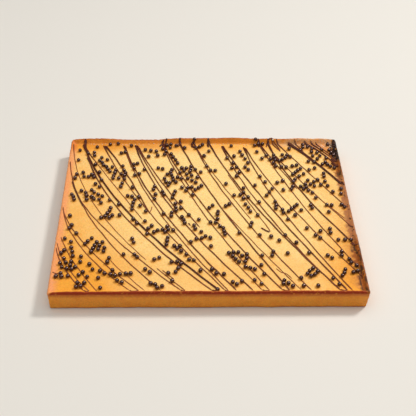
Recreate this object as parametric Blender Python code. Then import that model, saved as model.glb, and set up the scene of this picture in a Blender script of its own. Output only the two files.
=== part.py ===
"""A tray-baked caramel slice: one uncut slab with a raised crust rim, piped chocolate lines and
chocolate pearls on top. Metres, +Z up. The origin is the middle of the flat underside, +X is the
long side and -Y the near side."""

import math
import random

import bmesh
import bpy
from mathutils import Matrix, Vector, geometry, noise

MM = 0.001

# The slab
WIDTH = 320 * MM  # along X
DEPTH = 258 * MM  # along Y
THICKNESS = 20 * MM  # underside to the flat top
CORNER_RADIUS = 2.5 * MM
WALL_TAPER = 1.6 * MM  # the tin's draft: how far the foot of the wall lies inside the rim
BASE_ROUNDING = 1.4 * MM
SWELL = 0.45 * MM  # how unevenly the top has set
SWELL_LENGTH = 75 * MM
CRAG = 0.6 * MM  # depth of the wall's bumps and hollows
CRAG_LENGTH = 17 * MM

# The crust rim that climbed the tin's wall
RIM_WIDTH = 5.8 * MM  # outer edge to the foot of the rim's inner slope
RIM_CREST = 1.3 * MM  # outer edge to the crest
RIM_NEAR, RIM_LEFT, RIM_RIGHT = 3.7 * MM, 1.2 * MM, 2.3 * MM  # the crest over the flat top
# The far crest rises and falls: places along X and the height there, both in millimetres
FAR_CREST = ((-160, 5.3), (-126, 5.7), (-72, 4.2), (-25, 6.2), (38, 7.2), (58, 6.2), (160, 6.1))
RIM_SHOULDER = 0.45  # height at the outer edge, as a share of the crest's
RIM_BLEND = 3 * MM  # over how far one side's rim turns into the next one's at a corner
RIM_UNEVEN = 0.1  # how much its height wanders, as a share
RIM_UNEVEN_LENGTH = 21 * MM
CHIP_DEPTH = 0.4 * MM  # the stretch of the right side where the crust broke away
CHIP_FROM, CHIP_TO = -43 * MM, 66 * MM
CHIP_NEAR_END, CHIP_FAR_END = 5 * MM, 30 * MM  # over how far it begins and runs out
CHIP_REACH = 12 * MM  # how far in from the side it is felt
CHIP_RIM_LOSS = 0.8  # share of the rim that went with it
CHIP_RAGGED_LENGTH = 9 * MM
COLUMN_SPACING = 12 * MM  # between the sections of the wall and rim
CORNER_STEPS = 2

# The chocolate lines
LINE_WIDTH = 1.5 * MM
LINE_HEIGHT = 0.9 * MM
LINE_SINK = 0.5 * MM
LINE_STEP = 30 * MM  # between the sections of a line
LINE_HEIGHT_MAX = 1.5  # the heaviest line's height, as a share of LINE_HEIGHT
FAR_BLOB = 0.8  # extra width where the piping hand slows down to turn
BLOB_LENGTH = 16 * MM
TURN_REACH = 35 * MM  # a pass that starts this near the far side turned there
BELLY = 0.4  # how far along a line its belly lies

# Each pass of the piping bag, from the near left corner round to the far right one: where it
# starts and ends, in millimetres, how far it bellies out to the near left, as a share of its
# length, and its weight, as a share of LINE_WIDTH.
PASSES = (
    ((-158, -61), (-124, -123), 0.06, 1.0),
    ((-158, -53), (-119, -123), 0.06, 0.8),
    ((-155, -43), (-111, -123), 0.04, 0.8),
    ((-158, 5), (-79, -123), 0.081, 0.9),
    ((-158, 2), (-70, -123), 0.059, 0.9),
    ((-101, -79), (-64, -123), 0.01, 0.7),
    ((-158, 88), (-48, -123), 0.078, 1.0),
    ((-140, 17), (-28, -123), 0.035, 1.0),
    ((-157, 122), (-64, -79), 0.077, 0.7),
    ((-53, -91), (-24, -123), 0.0, 0.9),
    ((-138, 98), (3, -123), 0.065, 1.2),
    ((-145, 123), (10, -123), 0.06, 1.7),
    ((-138, 107), (-70, -15), 0.004, 0.8),
    ((-121, 121), (16, -123), 0.036, 1.0),
    ((-119, 120), (-63, -4), -0.022, 1.3),
    ((-97, 121), (19, -123), 0.046, 1.0),
    ((-96, 119), (27, -123), 0.043, 1.3),
    ((-83, 122), (44, -123), 0.053, 1.2),
    ((-81, 121), (-34, 3), 0.02, 1.1),
    ((-79, 117), (-8, -28), 0.023, 1.1),
    ((21, -71), (53, -123), 0.0, 0.9),
    ((-51, 126), (60, -123), 0.037, 1.0),
    ((-49, 124), (73, -123), 0.037, 1.2),
    ((-30, 127), (80, -123), 0.025, 1.3),
    ((19, 0), (92, -123), 0.01, 0.8),
    ((-13, 127), (102, -123), 0.038, 1.1),
    ((-10, 117), (48, -15), 0.018, 0.8),
    ((5, 127), (131, -123), 0.035, 1.3),
    ((26, 64), (68, -35), 0.0, 0.9),
    ((21, 120), (127, -118), 0.038, 1.1),
    ((22, 120), (138, -123), 0.02, 1.3),
    ((47, 118), (143, -123), 0.036, 1.1),
    ((49, 116), (156, -104), 0.031, 1.0),
    ((66, 127), (155, -92), 0.026, 1.0),
    ((68, 122), (104, 38), 0.0, 1.0),
    ((77, 127), (156, -57), 0.042, 1.4),
    ((81, 127), (91, 109), 0.0, 0.9),
    ((84, 101), (157, -28), 0.013, 0.9),
    ((87, 127), (156, 5), 0.0, 1.0),
    ((102, 125), (156, 46), -0.025, 2.2),
    ((106, 123), (127, 89), 0.0, 1.1),
    ((109, 127), (119, 110), 0.0, 0.9),
    ((121, 126), (156, 79), -0.05, 1.4),
    ((129, 126), (156, 89), -0.01, 1.1),
    ((135, 125), (156, 94), 0.0, 0.9),
)

# The chocolate pearls
PEARL_DIAMETER = 4.7 * MM
PEARL_SINK = 0.6 * MM
PEARL_SPACING = 1.0  # nearest two centres, in diameters
SINGLE_SPACING = 1.6  # the same for a pearl that fell on its own
PEARL_MARGIN = 6.2 * MM  # kept free inside the outer edge
RIM_PEARLS = ((-12, 126), (62, 126))  # two that lean on the far rim's crest, in millimetres
PEARL_COUNT = 505
PAIR_SHARE = 0.12  # how many of the single pearls have another beside them
PAIR_SPACING = (1.05, 1.3)  # centre to centre, in diameters
STRAY = 0.08  # how far a pearl of a handful strays from its line, in diameters
STRAY_GROWTH = 1.15  # how much further it strays at each try to find room
LINE_CLEARANCE = 3.2 * MM  # a pearl of the solid lies at least this far from a line
PEARL_SEED = 11

# The pearls that fell together: each string runs from one place to another, in millimetres, and
# then how many they were.
HANDFULS = (
    ((-121, 95), (-115, 91), 2), ((-123, 89), (-113, 73), 5), ((-109, 77), (-110, 69), 2),
    ((-99, 104), (-95, 106), 2), ((-70, 110), (-57, 107), 3), ((-66, 97), (-57, 99), 2),
    ((-45, 120), (-38, 124), 3), ((-42, 114), (-37, 117), 2), ((-46, 107), (-48, 101), 2),
    ((-40, 102), (-32, 84), 4), ((-54, 74), (-50, 73), 2), ((-27, 75), (-15, 73), 4),
    ((-10, 114), (-2, 120), 3), ((5, 107), (-1, 99), 2), ((42, 107), (50, 85), 4),
    ((37, 77), (31, 74), 2), ((47, 76), (50, 71), 2), ((61, 120), (70, 123), 3),
    ((82, 100), (83, 87), 4), ((68, 93), (77, 92), 2), ((92, 101), (100, 99), 3),
    ((95, 95), (88, 88), 3), ((83, 79), (95, 76), 3), ((107, 81), (102, 78), 2),
    ((111, 74), (102, 63), 4), ((119, 121), (117, 113), 3), ((124, 117), (129, 113), 2),
    ((128, 107), (134, 105), 2), ((129, 98), (133, 91), 2), ((137, 99), (137, 94), 2),
    ((122, 88), (128, 86), 2), ((139, 85), (151, 75), 4), ((149, 111), (154, 101), 3),
    ((-148, 62), (-149, 56), 2), ((-139, 59), (-130, 58), 4), ((-125, 45), (-120, 40), 2),
    ((-95, 46), (-96, 40), 2), ((-103, 70), (-106, 56), 4), ((-95, 70), (-92, 59), 4),
    ((-97, 63), (-99, 55), 2), ((-81, 61), (-76, 64), 2), ((-151, 27), (-147, 18), 3),
    ((-135, 29), (-133, 17), 3), ((-129, 34), (-125, 30), 2), ((-128, 22), (-125, 18), 2),
    ((-120, 26), (-116, 23), 2), ((-119, 18), (-117, 11), 2), ((-88, 23), (-75, 21), 4),
    ((-58, 40), (-59, 34), 2), ((-57, 26), (-58, 18), 2), ((-44, 63), (-38, 67), 3),
    ((-39, 62), (-33, 45), 5), ((-34, 57), (-29, 55), 2), ((-47, 55), (-43, 43), 3),
    ((-25, 69), (-20, 61), 4), ((-20, 70), (-15, 61), 4), ((-20, 55), (-11, 48), 3),
    ((-5, 41), (-12, 35), 3), ((-27, 38), (-17, 37), 4), ((-35, 31), (-38, 23), 3),
    ((-49, 31), (-47, 26), 2), ((7, 70), (11, 70), 2), ((39, 66), (36, 59), 2),
    ((43, 37), (42, 30), 2), ((38, 25), (32, 24), 2), ((42, 18), (47, 21), 2),
    ((75, 36), (68, 24), 3), ((82, 47), (88, 51), 2), ((97, 36), (99, 40), 2),
    ((109, 59), (114, 64), 2), ((103, 53), (100, 49), 2), ((108, 41), (111, 36), 2),
    ((114, 44), (116, 33), 4), ((119, 43), (127, 51), 4), ((120, 29), (123, 21), 2),
    ((137, 64), (137, 59), 2), ((137, 49), (139, 42), 2), ((154, 35), (152, 28), 2),
    ((-105, 3), (-107, -6), 3), ((-103, -10), (-114, -13), 4), ((-81, 11), (-82, 0), 3),
    ((-80, -16), (-76, -23), 2), ((-63, -40), (-57, -38), 2), ((-34, 10), (-34, -2), 3),
    ((-28, 14), (-28, 2), 2), ((-39, -4), (-38, -11), 2), ((-27, -12), (-24, -19), 3),
    ((-14, -26), (-13, -32), 2), ((4, -22), (9, -22), 2), ((14, -28), (20, -40), 4),
    ((21, 6), (26, 9), 2), ((12, -4), (12, -12), 3), ((49, -23), (47, -28), 2),
    ((43, 9), (48, -3), 3), ((-53, -35), (-42, -30), 4), ((-45, -36), (-37, -34), 2),
    ((77, 13), (77, 2), 3), ((83, -1), (84, -6), 2), ((101, 8), (91, -1), 4),
    ((150, 8), (154, 5), 2), ((132, -33), (132, -38), 2), ((115, -43), (119, -47), 2),
    ((-143, -61), (-139, -74), 3), ((-152, -85), (-148, -78), 2), ((-146, -84), (-138, -87), 4),
    ((-149, -91), (-139, -94), 4), ((-154, -103), (-148, -103), 2), ((-129, -56), (-122, -47), 3),
    ((-117, -53), (-121, -68), 4), ((-114, -58), (-114, -64), 2), ((-111, -53), (-108, -67), 3),
    ((-102, -77), (-103, -83), 2), ((-110, -96), (-106, -100), 2), ((-97, -96), (-99, -102), 2),
    ((-95, -103), (-79, -100), 4), ((-76, -72), (-74, -76), 2), ((-65, -94), (-60, -98), 2),
    ((-42, -46), (-43, -57), 3), ((-35, -59), (-29, -59), 2), ((-32, -63), (-23, -72), 3),
    ((-20, -80), (-16, -80), 2), ((-29, -86), (-34, -98), 3), ((4, -94), (8, -100), 2),
    ((-12, -48), (-3, -45), 4), ((22, -71), (31, -83), 4), ((26, -69), (28, -78), 2),
    ((33, -69), (35, -74), 2), ((39, -76), (39, -81), 2), ((38, -90), (47, -94), 3),
    ((68, -69), (66, -74), 2), ((107, -94), (100, -99), 3), ((111, -98), (104, -104), 3),
    ((139, -50), (152, -50), 3), ((140, -68), (139, -74), 2), ((146, -80), (149, -88), 3),
    ((140, -95), (136, -103), 3), ((147, -99), (153, -97), 2), ((-131, -113), (-125, -117), 4),
    ((-58, -115), (-48, -119), 4), ((24, -112), (29, -117), 3), ((76, -111), (81, -117), 4),
    ((-145, -89), (-139, -83), 5), ((-148, 109), (-148, 90), 2), ((-128, 82), (-122, 67), 2),
    ((-141, 67), (-140, 32), 2),
)


def clear_scene():
    for obj in list(bpy.data.objects):
        bpy.data.objects.remove(obj)


def material(name, colour, roughness):
    made = bpy.data.materials.new(name)
    made.use_nodes = True
    shader = made.node_tree.nodes["Principled BSDF"]
    shader.inputs["Base Color"].default_value = (*colour, 1.0)
    shader.inputs["Roughness"].default_value = roughness
    shader.inputs["Metallic"].default_value = 0.0
    return made


def smooth_step(low, high, value):
    share = min(max((value - low) / (high - low), 0.0), 1.0)
    return share * share * (3 - 2 * share)


def noise_at(x, y, z, length):
    """Smooth noise from about -1 to 1 with bumps of this length."""
    return noise.noise(Vector((x, y, z)) / length)


def edge_distance(x, y):
    """How far inside the slab's rounded outline a point lies."""
    side_x = abs(x) - WIDTH / 2 + CORNER_RADIUS
    side_y = abs(y) - DEPTH / 2 + CORNER_RADIUS
    outside = math.hypot(max(side_x, 0.0), max(side_y, 0.0))
    return CORNER_RADIUS - outside - min(max(side_x, side_y), 0.0)


def far_crest(x):
    """How high the far rim's crest stands at this place along it."""
    for (start, low), (end, high) in zip(FAR_CREST, FAR_CREST[1:]):
        if x <= end * MM:
            return MM * (low + (high - low) * smooth_step(start * MM, end * MM, x))
    return MM * FAR_CREST[-1][1]


def crest_height(x, y):
    """How high the crest of the rim beside this point stands over the flat top."""
    sides = (
        (DEPTH / 2 - y, far_crest(x)),
        (DEPTH / 2 + y, RIM_NEAR),
        (WIDTH / 2 + x, RIM_LEFT),
        (WIDTH / 2 - x, RIM_RIGHT),
    )
    weights = [math.exp(-distance / RIM_BLEND) for distance, _ in sides]
    height = sum(w * side[1] for w, side in zip(weights, sides)) / sum(weights)
    uneven = 1 + RIM_UNEVEN * noise_at(x, y, 0, RIM_UNEVEN_LENGTH)
    return height * (uneven - CHIP_RIM_LOSS * chip(x, y) / CHIP_DEPTH)


def chip(x, y):
    """How far the broken crust on the right side lies back from the outline."""
    if x < WIDTH / 2 - CHIP_REACH:
        return 0.0
    begun = smooth_step(CHIP_FROM, CHIP_FROM + CHIP_NEAR_END, y)
    ended = smooth_step(CHIP_TO - CHIP_FAR_END, CHIP_TO, y)
    ragged = 0.75 + 0.25 * noise_at(0, y, 0, CHIP_RAGGED_LENGTH)
    return CHIP_DEPTH * (begun - ended) * ragged


def rim_height(x, y):
    """The rim's height over the flat top at this point."""
    inside = edge_distance(x, y)
    outer = RIM_SHOULDER + (1 - RIM_SHOULDER) * smooth_step(0, RIM_CREST, inside)
    inner = 1 - smooth_step(RIM_CREST, RIM_WIDTH, inside)
    return crest_height(x, y) * outer * inner


def swell(x, y):
    """The slow rise and fall of the baked top."""
    return SWELL * noise_at(x, y, 5 * MM, SWELL_LENGTH)


def outline(inset):
    """Points and outward directions round the slab, this far inside its outer edge."""
    radius = max(CORNER_RADIUS - inset, 0.8 * MM)
    half_x = WIDTH / 2 - inset - radius
    half_y = DEPTH / 2 - inset - radius
    columns_x = round(WIDTH / COLUMN_SPACING)
    columns_y = round(DEPTH / COLUMN_SPACING)
    corners = ((1, 1, columns_x), (-1, 1, columns_y), (-1, -1, columns_x), (1, -1, columns_y))
    points = []
    for turn, (sign_x, sign_y, columns) in enumerate(corners):
        centre = Vector((sign_x * half_x, sign_y * half_y))
        following = corners[(turn + 1) % len(corners)]
        next_centre = Vector((following[0] * half_x, following[1] * half_y))
        for step in range(CORNER_STEPS):
            angle = math.pi / 2 * (turn + step / CORNER_STEPS)
            outward = Vector((math.cos(angle), math.sin(angle)))
            points.append((centre + outward * radius, outward))
        angle = math.pi / 2 * (turn + 1)
        outward = Vector((math.cos(angle), math.sin(angle)))
        for step in range(columns):
            points.append((centre.lerp(next_centre, step / columns) + outward * radius, outward))
    return points


def wall_ring(inset, height):
    """One ring of the wall, roughened and with the chip set back."""
    ring = []
    for point, outward in outline(inset):
        depth = CRAG * noise_at(point.x, point.y, height, CRAG_LENGTH)
        back = chip(point.x, point.y) * smooth_step(THICKNESS * 0.3, THICKNESS * 0.8, height)
        moved = point + outward * (depth - back)
        ring.append(Vector((moved.x, moved.y, height)))
    return ring


def top_ring(inset):
    """One ring of the crust rim, at the height of the rim there."""
    ring = []
    for point, outward in outline(inset):
        back = chip(point.x, point.y) * (1 - inset / RIM_WIDTH)
        moved = point - outward * back
        ring.append(Vector((moved.x, moved.y, THICKNESS + rim_height(point.x, point.y))))
    return ring


def make_slab(finish):
    """The slab: its base face drawn up ring by ring to the rim and down to the flat top."""
    base = [Vector((*point, 0.0)) for point, _ in outline(WALL_TAPER + BASE_ROUNDING)]
    wall = (
        (WALL_TAPER, BASE_ROUNDING),
        (WALL_TAPER * 0.6, THICKNESS * 0.42),
        (WALL_TAPER * 0.2, THICKNESS * 0.86),
    )
    rings = [wall_ring(inset, height) for inset, height in wall]
    rings += [top_ring(inset) for inset in (0.0, RIM_CREST, (RIM_CREST + RIM_WIDTH) / 2)]
    foot = [Vector((*point, THICKNESS)) for point, _ in outline(RIM_WIDTH)]
    rings.append(foot)

    shape = bmesh.new()
    face = shape.faces.new([shape.verts.new(point) for point in base])
    for ring in rings:
        drawn = bmesh.ops.extrude_face_region(shape, geom=[face, *face.edges])
        face = next(item for item in drawn["geom"] if isinstance(item, bmesh.types.BMFace))
        for vertex, point in zip(face.verts, ring):
            vertex.co = point
    bmesh.ops.recalc_face_normals(shape, faces=shape.faces)
    mesh = bpy.data.meshes.new("caramel_slice")
    shape.to_mesh(mesh)
    shape.free()
    mesh.materials.append(finish)
    slab = bpy.data.objects.new("caramel_slice", mesh)
    bpy.context.scene.collection.objects.link(slab)
    return slab


def pass_points(start, end, bow):
    """Points along one bowed pass of the piping bag: its ends, the rim's foot, and evenly between."""
    start, end = Vector(start) * MM, Vector(end) * MM
    chord = end - start
    outward = Vector((chord.y, -chord.x))
    belly = start + chord * BELLY + outward * 2 * bow

    def point_at(t):
        return start * (1 - t) ** 2 + belly * 2 * t * (1 - t) + end * t**2

    count = max(round(chord.length / LINE_STEP), 1)
    shares = [step / count for step in range(count + 1)]
    if edge_distance(*start) < RIM_WIDTH:
        foot = 0.0
        while edge_distance(*point_at(foot)) < RIM_WIDTH:
            foot += 0.2 * MM / chord.length
        shares.insert(1, foot)
    return [point_at(t) for t in shares]


def make_line(number, start, end, bow, weight, finish):
    """One chocolate line: a low three-sided ridge, drawn along its pass."""
    points = pass_points(start, end, bow)
    shape = bmesh.new()
    face = shape.faces.new([shape.verts.new() for _ in range(3)])
    travelled = 0.0
    turned = DEPTH / 2 - points[0].y < TURN_REACH
    for index, point in enumerate(points):
        before = points[max(index - 1, 0)]
        after = points[min(index + 1, len(points) - 1)]
        travelled += (point - before).length
        blob = 1 + turned * FAR_BLOB * math.exp(-travelled / BLOB_LENGTH)
        height = LINE_HEIGHT * min(weight * blob, LINE_HEIGHT_MAX)
        half = LINE_WIDTH / 2 * weight * blob * (height + LINE_SINK) / height
        side = (after - before).orthogonal().normalized() * half
        surface = THICKNESS + rim_height(point.x, point.y)
        if index:
            drawn = bmesh.ops.extrude_face_region(shape, geom=[face, *face.edges])
            face = next(item for item in drawn["geom"] if isinstance(item, bmesh.types.BMFace))
        left, right, crest = face.verts
        left.co = (*(point + side), surface - LINE_SINK)
        right.co = (*(point - side), surface - LINE_SINK)
        crest.co = (*point, surface + height)
    bmesh.ops.recalc_face_normals(shape, faces=shape.faces)
    mesh = bpy.data.meshes.new("line")
    shape.to_mesh(mesh)
    shape.free()
    mesh.materials.append(finish)
    return bpy.data.objects.new(f"line_{number}", mesh)


def pearl_places():
    """Where the pearls lie: the handfuls first, then single ones and pairs over the whole top."""
    draw = random.Random(PEARL_SEED)
    places = [(x * MM, y * MM) for x, y in RIM_PEARLS]

    def drop(x, y, spacing):
        nearest = min(math.hypot(x - a, y - b) for a, b in places)
        fits = edge_distance(x, y) > PEARL_MARGIN and nearest > spacing * PEARL_DIAMETER
        if fits:
            places.append((x, y))
        return fits

    for start, end, count in HANDFULS:
        start, end = Vector(start) * MM, Vector(end) * MM
        for number in range(count):
            place = start.lerp(end, number / (count - 1))
            stray = STRAY * PEARL_DIAMETER
            while not drop(draw.gauss(place.x, stray), draw.gauss(place.y, stray), PEARL_SPACING):
                stray *= STRAY_GROWTH
    while len(places) < PEARL_COUNT:
        x = draw.uniform(-WIDTH / 2, WIDTH / 2)
        y = draw.uniform(-DEPTH / 2, DEPTH / 2)
        if drop(x, y, SINGLE_SPACING) and draw.random() < PAIR_SHARE:
            angle = draw.uniform(0, 2 * math.pi)
            reach = PEARL_DIAMETER * draw.uniform(*PAIR_SPACING)
            drop(x + reach * math.cos(angle), y + reach * math.sin(angle), PEARL_SPACING)
    return places


def clear_of_lines(x, y):
    """Whether a pearl here would lie beside the chocolate lines and not on one."""
    here = Vector((x, y))
    for start, end, bow, weight in PASSES:
        points = pass_points(start, end, bow)
        for a, b in zip(points, points[1:]):
            nearest, share = geometry.intersect_point_line(here, a, b)
            if 0 <= share <= 1 and (nearest - here).length < LINE_CLEARANCE + weight * LINE_WIDTH / 2:
                return False
    return True


def make_pearls(finish):
    """The pearls that lie clear of the lines, each a twenty-faced ball turned its own way."""
    draw = random.Random(PEARL_SEED)
    shape = bmesh.new()
    bmesh.ops.create_icosphere(shape, subdivisions=1, radius=PEARL_DIAMETER / 2)
    mesh = bpy.data.meshes.new("pearl")
    shape.to_mesh(mesh)
    shape.free()
    mesh.materials.append(finish)
    pearls = []
    places = [place for place in pearl_places() if clear_of_lines(*place)]
    for number, (x, y) in enumerate(places):
        pearl = bpy.data.objects.new(f"pearl_{number}", mesh)
        height = THICKNESS + rim_height(x, y) + PEARL_DIAMETER / 2 - PEARL_SINK
        turn = Matrix.Rotation(draw.uniform(0, 2 * math.pi), 4, "Z")
        pearl.matrix_world = Matrix.Translation((x, y, height)) @ turn
        pearls.append(pearl)
    return pearls


def fuse(slab, toppings):
    """Joins the toppings to the slab with one Boolean union, and removes them."""
    gathered = bpy.data.collections.new("toppings")
    bpy.context.scene.collection.children.link(gathered)
    for topping in toppings:
        gathered.objects.link(topping)
    union = slab.modifiers.new("toppings", "BOOLEAN")
    union.operation = "UNION"
    union.operand_type = "COLLECTION"
    union.collection = gathered
    union.solver = "MANIFOLD"
    graph = bpy.context.evaluated_depsgraph_get()
    slab.data = bpy.data.meshes.new_from_object(slab.evaluated_get(graph))
    slab.modifiers.clear()
    for topping in toppings:
        bpy.data.objects.remove(topping)
    bpy.data.collections.remove(gathered)


def settle_top(slab):
    """Lets the top, with all that lies on it, rise and fall as it did in the oven."""
    shape = bmesh.new()
    shape.from_mesh(slab.data)
    bmesh.ops.triangulate(shape, faces=shape.faces)
    for vertex in shape.verts:
        share = smooth_step(BASE_ROUNDING, THICKNESS * 0.86, vertex.co.z)
        vertex.co.z += swell(vertex.co.x, vertex.co.y) * share
    shape.to_mesh(slab.data)
    shape.free()


def main():
    clear_scene()
    crust = material("baked_caramel", (0.93, 0.56, 0.17), 0.45)
    chocolate = material("chocolate", (0.045, 0.018, 0.012), 0.3)
    slab = make_slab(crust)
    lines = [make_line(number, *line, chocolate) for number, line in enumerate(PASSES)]
    fuse(slab, lines + make_pearls(chocolate))
    settle_top(slab)


main()
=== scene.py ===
# %% [markdown]
# # A slab of caramel slice
#
# The subject is one uncut slab of tray-baked caramel slice, about the size of a half catering tray
# and a thumb's width thick. Its top is pale gold and browns towards a crust rim that climbed the
# tin's wall. Thin chocolate lines cross it in long bows, and chocolate pearls lie over it in handfuls.
#
# The imported model fixes every size. This lesson loads it first and keeps its box.

import math
import random

import bmesh
import bpy
from mathutils import Matrix, Vector, kdtree, noise


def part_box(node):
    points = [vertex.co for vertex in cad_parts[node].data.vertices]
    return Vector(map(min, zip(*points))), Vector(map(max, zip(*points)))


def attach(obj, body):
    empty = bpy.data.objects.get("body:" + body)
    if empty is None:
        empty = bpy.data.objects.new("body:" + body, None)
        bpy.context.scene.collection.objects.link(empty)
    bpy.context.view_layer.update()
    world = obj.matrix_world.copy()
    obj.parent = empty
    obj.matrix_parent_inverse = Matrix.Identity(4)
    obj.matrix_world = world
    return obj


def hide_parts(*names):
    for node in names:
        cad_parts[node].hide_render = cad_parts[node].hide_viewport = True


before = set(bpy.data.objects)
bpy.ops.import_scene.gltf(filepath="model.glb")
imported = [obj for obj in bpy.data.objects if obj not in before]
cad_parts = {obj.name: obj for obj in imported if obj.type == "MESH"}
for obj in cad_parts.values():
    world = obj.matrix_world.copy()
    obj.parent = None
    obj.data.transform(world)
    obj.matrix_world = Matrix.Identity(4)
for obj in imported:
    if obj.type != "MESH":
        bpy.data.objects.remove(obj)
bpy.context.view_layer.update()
MM = 0.001
solid_low, solid_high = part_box("caramel_slice")
print("the solid measures", [round(side / MM, 1) for side in solid_high - solid_low], "mm")

# %% [markdown]
# ## The camera
#
# A slab seen from a fixed place is the easiest thing to compare with a picture, so the camera comes
# before any surface. It stands in front of the near side, looks down at about forty degrees and is
# turned and rolled by a degree or two, as a hand-levelled tripod is. A 75 mm lens keeps the two
# sides from closing in much towards the far end.

# %% Camera
LENS, SENSOR_WIDTH = 75, 36
CAMERA_PLACE = Vector((-26.8, -727.7, 636.4)) * MM
CAMERA_DOWN, CAMERA_RIGHT, CAMERA_ROLL = math.radians(40.08), math.radians(2.23), math.radians(1.38)

camera_data = bpy.data.cameras.new("camera")
camera_data.lens = LENS
camera_data.sensor_width = SENSOR_WIDTH
camera = bpy.data.objects.new("camera", camera_data)
bpy.context.scene.collection.objects.link(camera)
camera.matrix_world = (
    Matrix.Translation(CAMERA_PLACE)
    @ Matrix.Rotation(-CAMERA_RIGHT, 4, "Z")
    @ Matrix.Rotation(math.pi / 2 - CAMERA_DOWN, 4, "X")
    @ Matrix.Rotation(CAMERA_ROLL, 4, "Z")
)
bpy.context.scene.camera = camera
print("the camera stands", round(CAMERA_PLACE.length, 3), "m from the slab's middle")

# %% [markdown]
# ## The form of the slab
#
# Every surface of the slab comes from a few sums over a place on the plan: how far inside the
# rounded outline it lies, how much rim is left beside it, and how the top rose and fell in the oven.
# They are the same sums that made the solid, with the same names, so the two agree. They come
# first because the chocolate has to find the same surface later.
#
# What looks irregular is smooth noise, read at a place. Two patterns that shouldn't match read it at
# different heights, which is all that a third number such as 8 * MM does in the cells below.

# %% Sizes of the slab
WIDTH = round(solid_high.x - solid_low.x, 3)
DEPTH = round(solid_high.y - solid_low.y, 3)
THICKNESS = 20 * MM
CORNER_RADIUS = 2.5 * MM
WALL_TAPER = 1.6 * MM
BASE_ROUNDING = 1.4 * MM
SWELL, SWELL_LENGTH = 0.45 * MM, 75 * MM
print("plan", WIDTH, "x", DEPTH, "m")


# %% Helpers for uneven surfaces
def clamp(value):
    """The value, kept between 0 and 1."""
    return min(max(value, 0.0), 1.0)


def smooth_step(low, high, value):
    """Climbs smoothly from 0 to 1 while the value goes from low to high."""
    share = clamp((value - low) / (high - low))
    return share * share * (3 - 2 * share)


def fade(low, high, value):
    """Falls smoothly from 1 to 0 while the value goes from low to high."""
    return 1 - smooth_step(low, high, value)


def noise_at(x, y, z, length):
    """Smooth noise from about -1 to 1 with bumps of this length."""
    return noise.noise(Vector((x, y, z)) / length)


def edge_distance(x, y):
    """How far inside the slab's rounded outline a point lies."""
    side_x = abs(x) - WIDTH / 2 + CORNER_RADIUS
    side_y = abs(y) - DEPTH / 2 + CORNER_RADIUS
    outside = math.hypot(max(side_x, 0.0), max(side_y, 0.0))
    return CORNER_RADIUS - outside - min(max(side_x, side_y), 0.0)


def outward_at(x, y):
    """The direction that leads straight out of the slab from here."""
    side_x = abs(x) - WIDTH / 2 + CORNER_RADIUS
    side_y = abs(y) - DEPTH / 2 + CORNER_RADIUS
    if side_x > 0 and side_y > 0:
        return Vector((math.copysign(side_x, x), math.copysign(side_y, y))).normalized()
    if side_x > side_y:
        return Vector((math.copysign(1, x), 0))
    return Vector((0, math.copysign(1, y)))


# %% [markdown]
# The crust rim stands where the mix crept up the tin and baked hard. It is tallest at the far
# side, low at the left, and broken back along part of the right side, where it stuck to the tin.
# The far crest's height is given at a few places along it, in millimetres, and each side's rim is
# blended into the next one at the corners.

# %% Rim and chip
RIM_WIDTH = 5.8 * MM
RIM_CREST = 1.3 * MM
RIM_NEAR, RIM_LEFT, RIM_RIGHT = 3.7 * MM, 1.2 * MM, 2.3 * MM
FAR_CREST = ((-160, 5.3), (-126, 5.7), (-72, 4.2), (-25, 6.2), (38, 7.2), (58, 6.2), (160, 6.1))
RIM_SHOULDER = 0.45
RIM_BLEND = 3 * MM
RIM_UNEVEN, RIM_UNEVEN_LENGTH = 0.1, 21 * MM
CHIP_DEPTH = 0.4 * MM
CHIP_FROM, CHIP_TO = -43 * MM, 66 * MM
CHIP_NEAR_END, CHIP_FAR_END = 5 * MM, 30 * MM
CHIP_REACH = 12 * MM
CHIP_RIM_LOSS = 0.8
CHIP_RAGGED_LENGTH = 9 * MM


def chip(x, y):
    """How far the broken crust on the right side lies back from the outline."""
    if x < WIDTH / 2 - CHIP_REACH:
        return 0.0
    begun = smooth_step(CHIP_FROM, CHIP_FROM + CHIP_NEAR_END, y)
    ended = smooth_step(CHIP_TO - CHIP_FAR_END, CHIP_TO, y)
    ragged = 0.75 + 0.25 * noise_at(0, y, 0, CHIP_RAGGED_LENGTH)
    return CHIP_DEPTH * (begun - ended) * ragged


def far_crest(x):
    """How high the far rim's crest stands at this place along it."""
    for (start, low), (end, high) in zip(FAR_CREST, FAR_CREST[1:]):
        if x <= end * MM:
            return MM * (low + (high - low) * smooth_step(start * MM, end * MM, x))
    return MM * FAR_CREST[-1][1]


def crest_height(x, y):
    """How high the crest of the rim beside this point stands over the flat top."""
    sides = (
        (DEPTH / 2 - y, far_crest(x)),
        (DEPTH / 2 + y, RIM_NEAR),
        (WIDTH / 2 + x, RIM_LEFT),
        (WIDTH / 2 - x, RIM_RIGHT),
    )
    weights = [math.exp(-distance / RIM_BLEND) for distance, _ in sides]
    height = sum(w * side[1] for w, side in zip(weights, sides)) / sum(weights)
    uneven = 1 + RIM_UNEVEN * noise_at(x, y, 0, RIM_UNEVEN_LENGTH)
    return height * (uneven - CHIP_RIM_LOSS * chip(x, y) / CHIP_DEPTH)


def rim_height(x, y):
    """The rim's height over the flat top at this point."""
    inside = edge_distance(x, y)
    outer = RIM_SHOULDER + (1 - RIM_SHOULDER) * smooth_step(0, RIM_CREST, inside)
    inner = fade(RIM_CREST, RIM_WIDTH, inside)
    return crest_height(x, y) * outer * inner


print("rim at the far side", round(rim_height(0, DEPTH / 2 - RIM_CREST) / MM, 2), "mm")

# %% [markdown]
# The skin of the top adds what an oven does to a sugary surface: shallow crinkles, pin-sized pits
# where bubbles burst, and a rougher, craggy crust on the rim. These are real heights rather than
# a trick of the shading, so they also show in a plain view of the mesh.

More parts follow.
